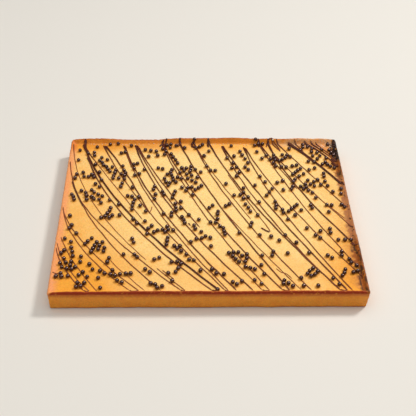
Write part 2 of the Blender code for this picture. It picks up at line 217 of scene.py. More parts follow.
# %% Skin of the top
CRINKLE, CRINKLE_LENGTH = 0.10 * MM, 8 * MM
GRAIN, GRAIN_LENGTH = 0.05 * MM, 2.4 * MM
PIT, PIT_LENGTH = 0.35 * MM, 5 * MM
PIT_FROM, PIT_FULL = 0.5, 0.75  # only the noise's peaks become pits
CRUST_CRAG, CRUST_CRAG_LENGTH = 0.55 * MM, 3.2 * MM
CRUST_REACH = 1.3  # how far in the crags go, in rim widths


def skin(x, y):
    """Crinkles, grain and pits of the top, and the crags of the rim."""
    inside = edge_distance(x, y)
    crust = fade(RIM_CREST, RIM_WIDTH * CRUST_REACH, inside)
    height = CRINKLE * noise_at(x, y, 1 * MM, CRINKLE_LENGTH)
    height += GRAIN * noise_at(x, y, 2 * MM, GRAIN_LENGTH)
    height -= PIT * smooth_step(PIT_FROM, PIT_FULL, noise_at(x, y, 3 * MM, PIT_LENGTH))
    height += CRUST_CRAG * crust * noise_at(x, y, 4 * MM, CRUST_CRAG_LENGTH)
    return height


def top_height(x, y):
    """The height of the slab's finished top."""
    swell = SWELL * noise_at(x, y, 5 * MM, SWELL_LENGTH)
    return THICKNESS + rim_height(x, y) + swell + skin(x, y)


print("top at the middle", round(top_height(0, 0) / MM, 2), "mm")

# %% [markdown]
# ## The slab's mesh
#
# The top is one fine grid, because its surface is a height over a plan and a grid holds such a
# surface evenly. Its lines crowd a little towards the edges, where the rim needs them, and its
# corners are pressed round. The wall is then pulled down from the grid's border, loop by loop.

# %% Grid of the top
COLUMNS, ROWS = 276, 222
EDGE_CROWDING = 0.38


def crowd(share):
    """Moves a place between -1 and 1 so that lines crowd towards both ends."""
    return (1 - EDGE_CROWDING) * share + EDGE_CROWDING * math.sin(share * math.pi / 2)


def round_corner(x, y):
    """Presses the square corners of the plan to the corner radius."""
    side_x = (abs(x) - WIDTH / 2 + CORNER_RADIUS) / CORNER_RADIUS
    side_y = (abs(y) - DEPTH / 2 + CORNER_RADIUS) / CORNER_RADIUS
    if side_x <= 0 or side_y <= 0:
        return x, y
    pressed_x = side_x * math.sqrt(1 - side_y**2 / 2)
    pressed_y = side_y * math.sqrt(1 - side_x**2 / 2)
    new_x = WIDTH / 2 - CORNER_RADIUS + pressed_x * CORNER_RADIUS
    new_y = DEPTH / 2 - CORNER_RADIUS + pressed_y * CORNER_RADIUS
    return math.copysign(new_x, x), math.copysign(new_y, y)


def make_top():
    """The grid of the top, with each point's place on the plan kept in a layer."""
    shape = bmesh.new()
    bmesh.ops.create_grid(shape, x_segments=COLUMNS, y_segments=ROWS, size=1)
    plan = shape.verts.layers.float_vector.new("plan")
    for vertex in shape.verts:
        x, y = round_corner(crowd(vertex.co.x) * WIDTH / 2, crowd(vertex.co.y) * DEPTH / 2)
        back = chip(x, y) * max(1 - edge_distance(x, y) / RIM_WIDTH, 0.0)
        vertex[plan] = (x, y, 0)
        vertex.co = (x - back, y, top_height(x, y))
    return shape


slab_shape = make_top()
print("the top has", len(slab_shape.faces), "faces")

# %% [markdown]
# The wall copied the tin: nearly plain, drawn in a little towards its foot, but roughened by crumbs
# and bubbles. Each new loop starts as a copy of the border, and then goes to its own height and
# inset, with bumps of two sizes. The last loop is closed with one flat face to stand on.

# %% Wall and underside
WALL_STEPS = 15
ROUNDING_STEPS = (0.6, 0.25, 0.0)  # the last loops' heights, as shares of the rounding
CRAG, CRAG_LENGTH = 0.6 * MM, 17 * MM
CRUMB, CRUMB_LENGTH = 0.35 * MM, 3.5 * MM
CRUMB_FROM = 3 * MM  # the foot is smoother below this height
BROKEN_FROM, BROKEN_FULL = 0.3, 0.8  # the heights between which the chip runs out below


def wall_point(plan, height):
    """Where the wall's surface passes at this height beside a place on the border."""
    outward = outward_at(plan.x, plan.y)
    inset = WALL_TAPER * (1 - height / THICKNESS)
    if height < BASE_ROUNDING:
        inset += BASE_ROUNDING - math.sqrt(BASE_ROUNDING**2 - (BASE_ROUNDING - height) ** 2)
    broken = smooth_step(BROKEN_FROM, BROKEN_FULL, height / THICKNESS)
    middle = smooth_step(0, CRUMB_FROM, height)
    bumps = CRAG * noise_at(plan.x, plan.y, height, CRAG_LENGTH)
    bumps += CRUMB * middle * noise_at(plan.x, plan.y, height, CRUMB_LENGTH)
    moved = plan.xy + outward * (bumps - inset - chip(plan.x, plan.y) * broken)
    return Vector((moved.x, moved.y, height))


def draw_wall(shape):
    """Pulls the border down to the underside and closes it."""
    plan = shape.verts.layers.float_vector["plan"]
    border = [edge for edge in shape.edges if edge.is_boundary]
    heights = [THICKNESS * (1 - step / WALL_STEPS) for step in range(WALL_STEPS)]
    heights += [BASE_ROUNDING * share for share in ROUNDING_STEPS]
    for height in heights:
        drawn = bmesh.ops.extrude_edge_only(shape, edges=border)["geom"]
        for vertex in (item for item in drawn if isinstance(item, bmesh.types.BMVert)):
            vertex.co = wall_point(vertex[plan], height)
        border = [item for item in drawn if isinstance(item, bmesh.types.BMEdge) and item.is_boundary]
    bmesh.ops.contextual_create(shape, geom=border)
    bmesh.ops.recalc_face_normals(shape, faces=shape.faces)


draw_wall(slab_shape)
print("the whole slab has", len(slab_shape.faces), "faces")

# %% [markdown]
# ## How the slab browned
#
# Baked colour isn't a pattern, it follows the heat: pale gold in the middle, amber towards the
# sides, a blush along the low left edge, and toasted crust on the rim and the wall. So the colour
# is worked out at each point from where it lies, and kept in a colour layer that the material
# reads. The far right corner caught sugar and crumbs: it is a frosted pinkish brown inside, and
# nearly black along its outer edge, partly dark crust and partly painted shadow.


# %% Colours of the crust
def paint(red, green, blue):
    """A colour named from 0 to 255, as the linear shares that shaders use."""
    return Vector([((part / 255 + 0.055) / 1.055) ** 2.4 for part in (red, green, blue)])


GOLD = paint(254, 215, 140)
AMBER = paint(246, 166, 54)
BLUSH = paint(240, 156, 100)
SEARED = paint(222, 118, 50)
TANNED = paint(208, 128, 50)
TOAST = paint(244, 152, 44)
RUST = paint(154, 48, 3)
BAKED = paint(186, 80, 8)
BROWNED = paint(206, 130, 58)
LIP = paint(176, 108, 64)
CRUST = paint(156, 78, 12)
# The two darkest browns also darken the far right corner, partly as painted shadow.
DEEP_BROWN = paint(64, 30, 13)
NEAR_BLACK = paint(34, 16, 9)
SUGARED = paint(216, 136, 80)
SUGARED_CREST = paint(255, 178, 104)
SUGAR = paint(240, 196, 156)
FROSTED = paint(226, 180, 130)
print("gold is", [round(part, 2) for part in GOLD])


# %% [markdown]
# Each colour has a stretch over which it comes or goes: two distances, heights or noise values, the
# first where the change begins and the second where it is complete. They stand together here, so
# that a colour can be moved without a search through the sums.

# %% Where the flat top turns amber
AMBER_LEFT = (0.25, 0.6, 0.25)  # where it begins, how much it is, and how much less far back
AMBER_RIGHT = (0.6, 0.5, 0.3)
AMBER_NEAR, AMBER_NEAR_REACH = 0.3, (-DEPTH / 2, 10 * MM)
AMBER_EDGE, AMBER_EDGE_REACH = 0.14, (-90 * MM, -60 * MM)
AMBER_FAR, AMBER_FAR_REACH = 0.75, (DEPTH / 2 - 34 * MM, DEPTH / 2 - RIM_WIDTH)
CLOUD, CLOUD_LENGTH, CLOUD_FINE_LENGTH = 0.11, 34 * MM, 9 * MM


def amber_end(out, y, start, strength, less):
    """The amber towards one end of the slab, by how far out towards it a point lies."""
    return smooth_step(start, 1.0, out) * (strength - less * 2 * y / DEPTH)


def amber_share(x, y):
    """How far the even top has turned from gold to amber."""
    left = amber_end(-2 * x / WIDTH, y, *AMBER_LEFT)
    right = amber_end(2 * x / WIDTH, y, *AMBER_RIGHT)
    near = AMBER_NEAR * fade(*AMBER_NEAR_REACH, y)
    near += AMBER_EDGE * fade(*AMBER_EDGE_REACH, y)
    far = AMBER_FAR * smooth_step(*AMBER_FAR_REACH, y)
    cloud = CLOUD * noise_at(x, y, 6 * MM, CLOUD_LENGTH)
    cloud += CLOUD * noise_at(x, y, 7 * MM, CLOUD_FINE_LENGTH)
    return clamp(left + right + near + far + cloud)


print("amber at the middle", round(amber_share(0, 0), 2))
print("amber at the left", round(amber_share(-WIDTH / 2, 0), 2))

# %% The right side's brown lip
SIDE_BLEND = 4 * MM
BROWNED_NEAR, BROWNED_FAR = (-80 * MM, 10 * MM), (62 * MM, 92 * MM)
BROWNED_MIDDLE, BROWNED_MIDDLE_REACH = 0.3, (0, 60 * MM)
STREAK_LENGTH, STREAK_STRETCH = 2.6 * MM, 5
STREAK_RANGE = (-0.2, 0.2)
STREAK_LEAST = 0.1
LIP_NEAR_END, LIP_FAR_END = (-56 * MM, -46 * MM), (54 * MM, 66 * MM)
# The lip goes nearly black at the far corner: partly dark crust, partly painted shadow.
DARK_CORNER = (86 * MM, 98 * MM)
DEEP_BROWN_SPECKS = 0.25


def side_shares(x, y):
    """How much a point belongs to the left, right and the two long sides' rims."""
    edge = edge_distance(x, y)
    left = fade(0, SIDE_BLEND, WIDTH / 2 + x - edge)
    right = fade(0, SIDE_BLEND, WIDTH / 2 - x - edge)
    return left, right, max(1 - left - right, 0.0)


def browned_share(y):
    """How far the right side browned at this place along it, most at both ends."""
    middle = BROWNED_MIDDLE * fade(*BROWNED_MIDDLE_REACH, y)
    return max(fade(*BROWNED_NEAR, y), smooth_step(*BROWNED_FAR, y), middle)


def lip_colour(x, y, mottle):
    """The brown lip of the right side: dark streaks at the near end, nearly black at the far one
    (partly painted shadow).
    """
    streaks = noise_at(x, y / STREAK_STRETCH, 10 * MM, STREAK_LENGTH)
    ends = max(fade(*LIP_NEAR_END, y), smooth_step(*LIP_FAR_END, y))
    dark_corner = smooth_step(*DARK_CORNER, y) * (0.8 + 0.2 * mottle)
    streaky = ends * (STREAK_LEAST + (1 - STREAK_LEAST) * smooth_step(*STREAK_RANGE, streaks))
    brown = LIP.lerp(CRUST, ends)
    return brown.lerp(DEEP_BROWN, min(max(streaky, dark_corner, DEEP_BROWN_SPECKS * mottle), 1.0))


print("browned at the near end", round(browned_share(-DEPTH / 2), 2))

# %% Widths of the colours along the sides
MOTTLE, MOTTLE_LENGTH = 0.9, 4 * MM
MOTTLE_FINE, MOTTLE_FINE_LENGTH = 0.4, 1.5 * MM
SEARED_REACH = (102 * MM, 120 * MM)
BLUSH_SHARE, BLUSH_WIDTH = 0.9, (3 * MM, 12 * MM)
BROWNED_SHARE, BROWNED_WIDTH, BROWNED_RAGGED = 0.9, (8 * MM, 25 * MM), 4 * MM
LIP_SHARE, LIP_WIDTH, LIP_RAGGED = 0.95, (8.5 * MM, 12 * MM), 3 * MM
CREST_WIDTH, CREST_RAGGED = (1.5 * MM, 3.1 * MM), 0.6 * MM
CRUST_WIDTH = (RIM_WIDTH - 2 * MM, RIM_WIDTH + 1 * MM)
TANNED_SHARE, TANNED_WIDTH = 0.55, (RIM_WIDTH, RIM_WIDTH + 16 * MM)
TANNED_REACH = (-70 * MM, 20 * MM)
RUST_SPECKS, RUST_REACH = 0.18, (-0.2, 0.3)


def top_mottle(x, y):
    """A pattern from 0 to 1 that makes the borders between colours ragged."""
    coarse = MOTTLE * noise_at(x, y, 8 * MM, MOTTLE_LENGTH)
    fine = MOTTLE_FINE * noise_at(x, y, 9 * MM, MOTTLE_FINE_LENGTH)
    return clamp(0.5 + coarse + fine)


# %% The far right corner
CORNER_INSET, CORNER_STRETCH = 22 * MM, 1.9
SUGARED_SHARE, SUGARED_REACH = 0.85, (8 * MM, 24 * MM)
CRYSTAL_SHARE, CRYSTAL_LENGTH, CRYSTAL_RANGE = 0.6, 1.9 * MM, (0, 0.5)
LIP_UNDER_SUGAR = 0.8
FROSTED_X, FROSTED_Y, FROSTED_STRETCH = 102 * MM, 122 * MM, 3.6
FROSTED_SHARE, FROSTED_WIDTH, FROSTED_RAGGED = 0.75, (1 * MM, 5 * MM), 2 * MM
# The near-black band along the far right edge is partly dark crust and partly painted shadow.
NEAR_BLACK_SHARE, NEAR_BLACK_WIDTH, NEAR_BLACK_RAGGED = 0.95, (4.5 * MM, 8.5 * MM), 1.5 * MM
NEAR_BLACK_REACH = (84 * MM, 93 * MM)


def corner_colour(colour, x, y, crust, lip, mottle):
    """The colour after sugar, frost and the near-black edge (partly painted shadow) have had their
    share of it.
    """
    corner = math.hypot((WIDTH / 2 - CORNER_INSET - x) / CORNER_STRETCH, DEPTH / 2 - y)
    sugared = fade(*SUGARED_REACH, corner)
    speckled = smooth_step(*CRYSTAL_RANGE, noise_at(x, y, 14 * MM, CRYSTAL_LENGTH))
    crystals = SUGARED.lerp(SUGARED_CREST, crust).lerp(SUGAR, CRYSTAL_SHARE * speckled)
    colour = colour.lerp(crystals, SUGARED_SHARE * sugared * (1 - LIP_UNDER_SUGAR * lip))
    patch = math.hypot((x - FROSTED_X) / FROSTED_STRETCH, y - FROSTED_Y) - FROSTED_RAGGED * mottle
    colour = colour.lerp(FROSTED, FROSTED_SHARE * fade(*FROSTED_WIDTH, patch))
    near_black_edge = fade(*NEAR_BLACK_WIDTH, WIDTH / 2 - x + NEAR_BLACK_RAGGED * mottle)
    return colour.lerp(NEAR_BLACK, NEAR_BLACK_SHARE * near_black_edge * smooth_step(*NEAR_BLACK_REACH, y))


# %% Colour of the top
def top_colour(x, y):
    """The baked colour at a place on the top."""
    edge = edge_distance(x, y)
    left, right, long_side = side_shares(x, y)
    mottle = top_mottle(x, y)
    colour = GOLD.lerp(AMBER, amber_share(x, y))
    blush = BLUSH.lerp(SEARED, smooth_step(*SEARED_REACH, y))
    colour = colour.lerp(blush, left * BLUSH_SHARE * fade(*BLUSH_WIDTH, edge))
    browned = right * browned_share(y) * fade(*BROWNED_WIDTH, edge + BROWNED_RAGGED * mottle)
    colour = colour.lerp(BROWNED, BROWNED_SHARE * browned)
    lip = right * fade(*LIP_WIDTH, edge + LIP_RAGGED * mottle)
    colour = colour.lerp(lip_colour(x, y, mottle), LIP_SHARE * lip)
    crest = fade(*CREST_WIDTH, edge + CREST_RAGGED * mottle)
    crust = long_side * fade(*CRUST_WIDTH, edge)
    foot = fade(*TANNED_WIDTH, DEPTH / 2 - y)
    colour = colour.lerp(TANNED, TANNED_SHARE * long_side * foot * fade(*TANNED_REACH, x))
    toast = TOAST.lerp(RUST, min(crest + RUST_SPECKS * mottle * fade(*RUST_REACH, x / WIDTH), 1.0))
    return corner_colour(colour.lerp(toast, crust), x, y, crust, lip, mottle)


print("the middle's colour", [round(part, 2) for part in top_colour(0, 0)])


# %% Colour layer
WALL_MOTTLE, WALL_MOTTLE_LENGTH = 0.8, 7 * MM
WALL_MOTTLE_FINE, WALL_MOTTLE_FINE_LENGTH = 0.5, 2 * MM
WALL_TOAST, WALL_TOAST_SWING = 0.45, 0.7
WALL_LIP = 0.75 * THICKNESS  # the wall bakes darker above this height
WALL_FOOT = 3 * MM  # and below this one
WALL_BAKED, WALL_SPECKS, WALL_SPECKS_FROM = 0.75, 0.2, 0.6


def wall_colour(point):
    """The baked colour at a place on the wall or the underside."""
    mottle = 0.5 + WALL_MOTTLE * noise_at(*point, WALL_MOTTLE_LENGTH)
    mottle += WALL_MOTTLE_FINE * noise_at(*point, WALL_MOTTLE_FINE_LENGTH)
    colour = AMBER.lerp(TOAST, clamp(WALL_TOAST + WALL_TOAST_SWING * mottle))
    ends = max(smooth_step(WALL_LIP, THICKNESS, point.z), fade(0, WALL_FOOT, point.z))
    specks = WALL_SPECKS * max(mottle - WALL_SPECKS_FROM, 0)
    return colour.lerp(BAKED, min(WALL_BAKED * ends + specks, 1.0))


def colour_slab(shape):
    """Writes the baked colour of every point to the colour layer."""
    layer = shape.verts.layers.float_color.new("baked_colour")
    for number, vertex in enumerate(shape.verts):
        on_top = number < (COLUMNS + 1) * (ROWS + 1)
        colour = top_colour(vertex.co.x, vertex.co.y) if on_top else wall_colour(vertex.co)
        vertex[layer] = (*colour, 1.0)


colour_slab(slab_shape)


# %% Slab as an object
def add_piece(shape, name, material):
    """Turns a bmesh into a smooth-shaded piece of the slice, riding on its one body."""
    mesh = bpy.data.meshes.new(name)
    shape.to_mesh(mesh)
    shape.free()
    mesh.shade_smooth()
    mesh.materials.append(material)
    piece = bpy.data.objects.new(name, mesh)
    bpy.context.scene.collection.objects.link(piece)
    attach(piece, "root")
    triangles = sum(len(face.vertices) - 2 for face in mesh.polygons)
    print(name, "has", triangles, "triangles")
    return piece


def new_material(name):
    """A new material, its node tree's nodes and links, and its shader."""
    made = bpy.data.materials.new(name)
    made.use_nodes = True
    nodes, links = made.node_tree.nodes, made.node_tree.links
    return made, nodes, links, nodes["Principled BSDF"]


# %% [markdown]
# ## The caramel's finish
#
# Set caramel is a little see-through: light goes in, scatters and comes out warmer. A small
# subsurface weight gives that, and more of it would wash out the fine forms. Over the baked
# colour go fine grain and a few darker freckles, and the bump carries the grain that is too fine
# for the mesh. All patterns read Object coordinates, so they stay put on the slab.


# %% Material of baked caramel
def noise_texture(nodes, links, length, detail=3.0):
    """A noise pattern with bumps of this length, fixed to the piece."""
    place = nodes.new("ShaderNodeTexCoord")
    pattern = nodes.new("ShaderNodeTexNoise")
    pattern.inputs["Scale"].default_value = 1 / length
    pattern.inputs["Detail"].default_value = detail
    links.new(place.outputs["Object"], pattern.inputs["Vector"])
    return pattern.outputs["Fac"]


def remap(nodes, links, value, from_low, from_high, to_low, to_high):
    """The value, stretched from one range to another."""
    stretched = nodes.new("ShaderNodeMapRange")
    links.new(value, stretched.inputs["Value"])
    for socket, number in (
        ("From Min", from_low),
        ("From Max", from_high),
        ("To Min", to_low),
        ("To Max", to_high),
    ):
        stretched.inputs[socket].default_value = number
    return stretched.outputs["Result"]


def blend_colours(nodes, links, share, first, second, mode="MIX"):
    """Two colours, mixed by a share."""
    mixed = nodes.new("ShaderNodeMix")
    mixed.data_type = "RGBA"
    mixed.blend_type = mode
    for socket, value in ((0, share), (6, first), (7, second)):
        if isinstance(value, bpy.types.NodeSocket):
            links.new(value, mixed.inputs[socket])
        else:
            mixed.inputs[socket].default_value = value
    return mixed.outputs[2]


def add_bump(nodes, links, shader, patterns):
    """Bumps from several patterns, each with its own height in metres."""
    normal = None
    for pattern, height in patterns:
        bump = nodes.new("ShaderNodeBump")
        bump.inputs["Distance"].default_value = height
        links.new(pattern, bump.inputs["Height"])
        if normal:
            links.new(normal, bump.inputs["Normal"])
        normal = bump.outputs["Normal"]
    links.new(normal, shader.inputs["Normal"])


# %% Caramel
NOISE_MIDDLE = (0.3, 0.7)  # nearly all of a detailed noise lies between these
GRAIN_TONES = (0.86, 1.1)
GRAIN_BUMP, FINE_BUMP = 0.12 * MM, 0.05 * MM
FRECKLE_RANGE, FRECKLE_SHARE = (0.58, 0.74), 0.5
SCATTER_WEIGHT, SCATTER_DEPTH = 0.12, 1.5 * MM
SCATTER_COLOUR = (1.0, 0.5, 0.2)  # red light goes deepest


def make_caramel():
    material, nodes, links, shader = new_material("baked_caramel")
    baked = nodes.new("ShaderNodeAttribute")
    baked.attribute_name = "baked_colour"
    grain = noise_texture(nodes, links, 1.2 * MM)
    freckles = noise_texture(nodes, links, 2.6 * MM)
    freckled = remap(nodes, links, freckles, *FRECKLE_RANGE, 0.0, FRECKLE_SHARE)
    colour = blend_colours(nodes, links, freckled, baked.outputs["Color"], (*AMBER, 1))
    tone = remap(nodes, links, grain, *NOISE_MIDDLE, *GRAIN_TONES)
    greys = nodes.new("ShaderNodeCombineColor")
    for channel in ("Red", "Green", "Blue"):
        links.new(tone, greys.inputs[channel])
    colour = blend_colours(nodes, links, 1.0, colour, greys.outputs["Color"], "MULTIPLY")
    links.new(colour, shader.inputs["Base Color"])
    links.new(remap(nodes, links, grain, *NOISE_MIDDLE, 0.38, 0.55), shader.inputs["Roughness"])
    shader.inputs["Subsurface Weight"].default_value = SCATTER_WEIGHT
    shader.inputs["Subsurface Radius"].default_value = SCATTER_COLOUR
    shader.inputs["Subsurface Scale"].default_value = SCATTER_DEPTH
    shader.inputs["Specular IOR Level"].default_value = 0.25
    fine = noise_texture(nodes, links, 0.45 * MM, 2.0)
    add_bump(nodes, links, shader, ((grain, GRAIN_BUMP), (fine, FINE_BUMP)))
    return material


slab = add_piece(slab_shape, "slab", make_caramel())
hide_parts("caramel_slice")

# %% [markdown]
# ## The chocolate lines
#
# The lines were piped in long passes that run from the far left to the near right, each bellied
# out towards the near left, with tight turns near the far side where the chocolate pooled. A drawn
# line is a swept section, so each one starts as a small ring and is extruded along its pass. The
# list gives where each pass starts and ends, in millimetres, how far it bellies out, as a share of
# its length, and its weight, as a share of the line's width.

# %% Passes of the piping bag
PASSES = (
    ((-158, -61), (-124, -123), 0.06, 1.0),
    ((-158, -53), (-119, -123), 0.06, 0.8),
    ((-155, -43), (-111, -123), 0.04, 0.8),
    ((-158, 5), (-79, -123), 0.081, 0.9),
    ((-158, 2), (-70, -123), 0.059, 0.9),
    ((-101, -79), (-64, -123), 0.01, 0.7),
    ((-158, 88), (-48, -123), 0.078, 1.0),
    ((-140, 17), (-28, -123), 0.035, 1.0),
    ((-157, 122), (-64, -79), 0.077, 0.7),
    ((-53, -91), (-24, -123), 0.0, 0.9),
    ((-138, 98), (3, -123), 0.065, 1.2),
    ((-145, 123), (10, -123), 0.06, 1.7),
    ((-138, 107), (-70, -15), 0.004, 0.8),
    ((-121, 121), (16, -123), 0.036, 1.0),
    ((-119, 120), (-63, -4), -0.022, 1.3),
    ((-97, 121), (19, -123), 0.046, 1.0),
    ((-96, 119), (27, -123), 0.043, 1.3),
    ((-83, 122), (44, -123), 0.053, 1.2),
    ((-81, 121), (-34, 3), 0.02, 1.1),
    ((-79, 117), (-8, -28), 0.023, 1.1),
    ((21, -71), (53, -123), 0.0, 0.9),
    ((-51, 126), (60, -123), 0.037, 1.0),
    ((-49, 124), (73, -123), 0.037, 1.2),
    ((-30, 127), (80, -123), 0.025, 1.3),
    ((19, 0), (92, -123), 0.01, 0.8),
    ((-13, 127), (102, -123), 0.038, 1.1),
    ((-10, 117), (48, -15), 0.018, 0.8),
    ((5, 127), (131, -123), 0.035, 1.3),
    ((26, 64), (68, -35), 0.0, 0.9),
    ((21, 120), (127, -118), 0.038, 1.1),
    ((22, 120), (138, -123), 0.02, 1.3),
    ((47, 118), (143, -123), 0.036, 1.1),
    ((49, 116), (156, -104), 0.031, 1.0),
    ((66, 127), (155, -92), 0.026, 1.0),
    ((68, 122), (104, 38), 0.0, 1.0),
    ((77, 127), (156, -57), 0.042, 1.4),
    ((81, 127), (91, 109), 0.0, 0.9),
    ((84, 101), (157, -28), 0.013, 0.9),
    ((87, 127), (156, 5), 0.0, 1.0),
    ((102, 125), (156, 46), -0.025, 2.2),
    ((106, 123), (127, 89), 0.0, 1.1),
    ((109, 127), (119, 110), 0.0, 0.9),
    ((121, 126), (156, 79), -0.05, 1.4),
    ((129, 126), (156, 89), -0.01, 1.1),
    ((135, 125), (156, 94), 0.0, 0.9),
)
print(len(PASSES), "passes")

# %% [markdown]
# Where the bag turned back at the far rim the line climbs the crust in a small hook, and it makes
# a tight bend at the near side. A few short drips fell between the passes. Each of these is a
# handful of points that a smooth curve joins, and a weight.

# %% Hooks and drips
DRIPS = (
    (((-143, 127), (-143, 121), (-142, 114), (-138, 106)), 2.5),
    (((-152, 52), (-149, 41), (-145, 30), (-140, 17), (-135, 6)), 1.6),
    (((-49, 127), (-51, 123), (-54, 119)), 1.7),
    (((-45, 128), (-47, 124), (-51, 118)), 1.6),
    (((-29, 128), (-30, 123), (-32, 118)), 1.6),
    (((-12, 126), (-15, 123), (-14, 118), (-11, 116)), 2.2),
    (((5, 128), (4, 122), (5, 117)), 1.7),
    (((66, 128), (65, 122), (66, 118)), 1.5),
    (((75, 118), (76, 124), (80, 128), (85, 125), (88, 120), (91, 111)), 1.3),
    (((149, 87), (153, 81), (157, 79)), 1.7),
    (((150, 95), (153, 90), (157, 90)), 1.6),
    (((-60, 7), (-61, 1), (-63, -5)), 0.8),
    (((58, -29), (63, -34), (67, -36)), 1.5),
    (((-20, -21), (-19, -23), (-18, -25)), 1.2),
    (((-158, -97), (-153, -98), (-149, -96)), 0.9),
    (((151, -54), (155, -57), (158, -58)), 1.3),
    (((153, -24), (156, -27), (158, -28)), 1.2),
    (((153, 7), (155, 7), (157, 5)), 1.1),
    (((150, 54), (154, 50), (157, 48), (158, 43)), 1.6),
    (((69, -92), (74, -98), (79, -100), (84, -107)), 0.7),
    (((-47, -94), (-41, -101), (-35, -107)), 0.9),
    (((134, 11), (143, -2), (151, -14)), 0.8),
    (((-124, -122), (-121, -124), (-119, -122)), 1.1),
    (((-79, -122), (-75, -125), (-70, -122)), 1.0),
    (((-28, -122), (-26, -124), (-24, -122)), 1.2),
    (((3, -122), (7, -125), (10, -122)), 1.4),
    (((16, -122), (17, -124), (19, -122)), 1.2),
    (((53, -122), (57, -125), (60, -122)), 1.1),
    (((73, -122), (77, -125), (80, -122)), 1.3),
    (((131, -122), (135, -124), (138, -122)), 1.2),
)
print(len(DRIPS), "hooks and drips")


# %% Points along a line
LINE_WIDTH = 1.25 * MM
LINE_STEP = 2.5 * MM
FAR_BLOB, BLOB_LENGTH = 0.8, 16 * MM
TURN_REACH = 35 * MM
BELLY = 0.4
WANDER, WANDER_LENGTH = 0.45 * MM, 16 * MM
DRIP_STEPS = 4  # between two knots of a hook or a drip


def wander(point):
    """The small sideways drift of a hand-held bag."""
    drift_x = noise_at(point.x, point.y, 11 * MM, WANDER_LENGTH)
    drift_y = noise_at(point.x, point.y, 12 * MM, WANDER_LENGTH)
    return point + Vector((drift_x, drift_y)) * WANDER


def pass_points(start, end, bow):
    """Evenly spaced points along one bowed pass."""
    start, end = Vector(start) * MM, Vector(end) * MM
    chord = end - start
    belly = start + chord * BELLY + Vector((chord.y, -chord.x)) * 2 * bow
    count = round(chord.length / LINE_STEP)
    shares = [step / count for step in range(count + 1)]
    bent = [start * (1 - t) ** 2 + belly * 2 * t * (1 - t) + end * t**2 for t in shares]
    return [wander(point) for point in bent]


def drip_points(knots):
    """Points of a smooth curve through a few knots."""
    knots = [Vector(knot) * MM for knot in knots]
    points = []
    for index in range(len(knots) - 1):
        before, start = knots[max(index - 1, 0)], knots[index]
        end, after = knots[index + 1], knots[min(index + 2, len(knots) - 1)]
        for step in range(DRIP_STEPS):
            t = step / DRIP_STEPS
            slope_in, slope_out = (end - before) / 2, (after - start) / 2
            points.append(
                start * (2 * t**3 - 3 * t**2 + 1)
                + slope_in * (t**3 - 2 * t**2 + t)
                + end * (3 * t**2 - 2 * t**3)
                + slope_out * (t**3 - t**2)
            )
    return points + [knots[-1]]


# %% Sweep of a line
LINE_SIDES = 8
LINE_FLATNESS = 0.62
LINE_SINK = 0.15
LINE_TIP = 0.35  # how thick the two ends are, as a share


def sweep(gathered, points, weights):
    """Extrudes a flattened ring along the points and adds it to the gathered lines."""
    shape = bmesh.new()
    thickness = shape.verts.layers.float.new("thickness")
    bmesh.ops.create_circle(shape, cap_ends=True, segments=LINE_SIDES, radius=1)
    shape.faces.ensure_lookup_table()
    face = shape.faces[0]
    for index, (point, weight) in enumerate(zip(points, weights)):
        if index:
            drawn = bmesh.ops.extrude_face_region(shape, geom=[face, *face.edges])
            face = next(item for item in drawn["geom"] if isinstance(item, bmesh.types.BMFace))
        ahead = points[min(index + 1, len(points) - 1)] - points[max(index - 1, 0)]
        side = ahead.orthogonal().normalized()
        half = LINE_WIDTH / 2 * weight
        if index in (0, len(points) - 1):
            half *= LINE_TIP
        middle = top_height(*point) + half * LINE_FLATNESS * (1 - LINE_SINK)
        for number, vertex in enumerate(face.verts):
            angle = 2 * math.pi * number / LINE_SIDES
            across = side * math.cos(angle) * half
            up = math.sin(angle) * half * LINE_FLATNESS
            vertex.co = (point.x + across.x, point.y + across.y, middle + up)
            vertex[thickness] = weight
    bmesh.ops.recalc_face_normals(shape, faces=shape.faces)
    line = bpy.data.meshes.new("line")
    shape.to_mesh(line)
    shape.free()
    gathered.from_mesh(line)
    bpy.data.meshes.remove(line)


# %% All the lines
PULSE, PULSE_LENGTH = 0.16, 11 * MM


def pass_weights(points, weight):
    """Heavier near a turn at the far side, and a little uneven all along."""
    travelled, weights = 0.0, []
    turned = DEPTH / 2 - points[0].y < TURN_REACH
    for index, point in enumerate(points):
        travelled += (point - points[max(index - 1, 0)]).length
        blob = 1 + turned * FAR_BLOB * math.exp(-travelled / BLOB_LENGTH)
        uneven = 1 + PULSE * noise_at(point.x, point.y, 13 * MM, PULSE_LENGTH)
        weights.append(weight * blob * uneven)
    return weights


line_shape = bmesh.new()
line_shape.verts.layers.float.new("thickness")
for start, end, bow, weight in PASSES:
    points = pass_points(start, end, bow)
    sweep(line_shape, points, pass_weights(points, weight))
for knots, weight in DRIPS:
    points = drip_points(knots)
    sweep(line_shape, points, [weight] * len(points))
print("the lines have", len(line_shape.faces), "faces")

# %% [markdown]
# Chocolate is opaque where it is thick, but a hair-thin line lets the gold through and looks a
# warmer brown. The thickness layer of the lines mixes the two browns. A low roughness gives set
# chocolate its shine, and a shallow bump breaks the highlight up.

# %% Material of the lines
THIN_BROWN = paint(146, 80, 48)
DARK_BROWN = paint(84, 40, 28)
THIN_WEIGHT, DARK_WEIGHT = 0.8, 1.7


def make_line_chocolate():
    material, nodes, links, shader = new_material("line_chocolate")
    thickness = nodes.new("ShaderNodeAttribute")
    thickness.attribute_name = "thickness"
    share = remap(nodes, links, thickness.outputs["Fac"], THIN_WEIGHT, DARK_WEIGHT, 0.0, 1.0)
    colour = blend_colours(nodes, links, share, (*THIN_BROWN, 1), (*DARK_BROWN, 1))
    links.new(colour, shader.inputs["Base Color"])
    grain = noise_texture(nodes, links, 1.1 * MM)
    links.new(remap(nodes, links, grain, *NOISE_MIDDLE, 0.26, 0.4), shader.inputs["Roughness"])
    shader.inputs["Specular IOR Level"].default_value = 0.2
    add_bump(nodes, links, shader, ((grain, 0.03 * MM),))
    return material


add_piece(line_shape, "chocolate_lines", make_line_chocolate())

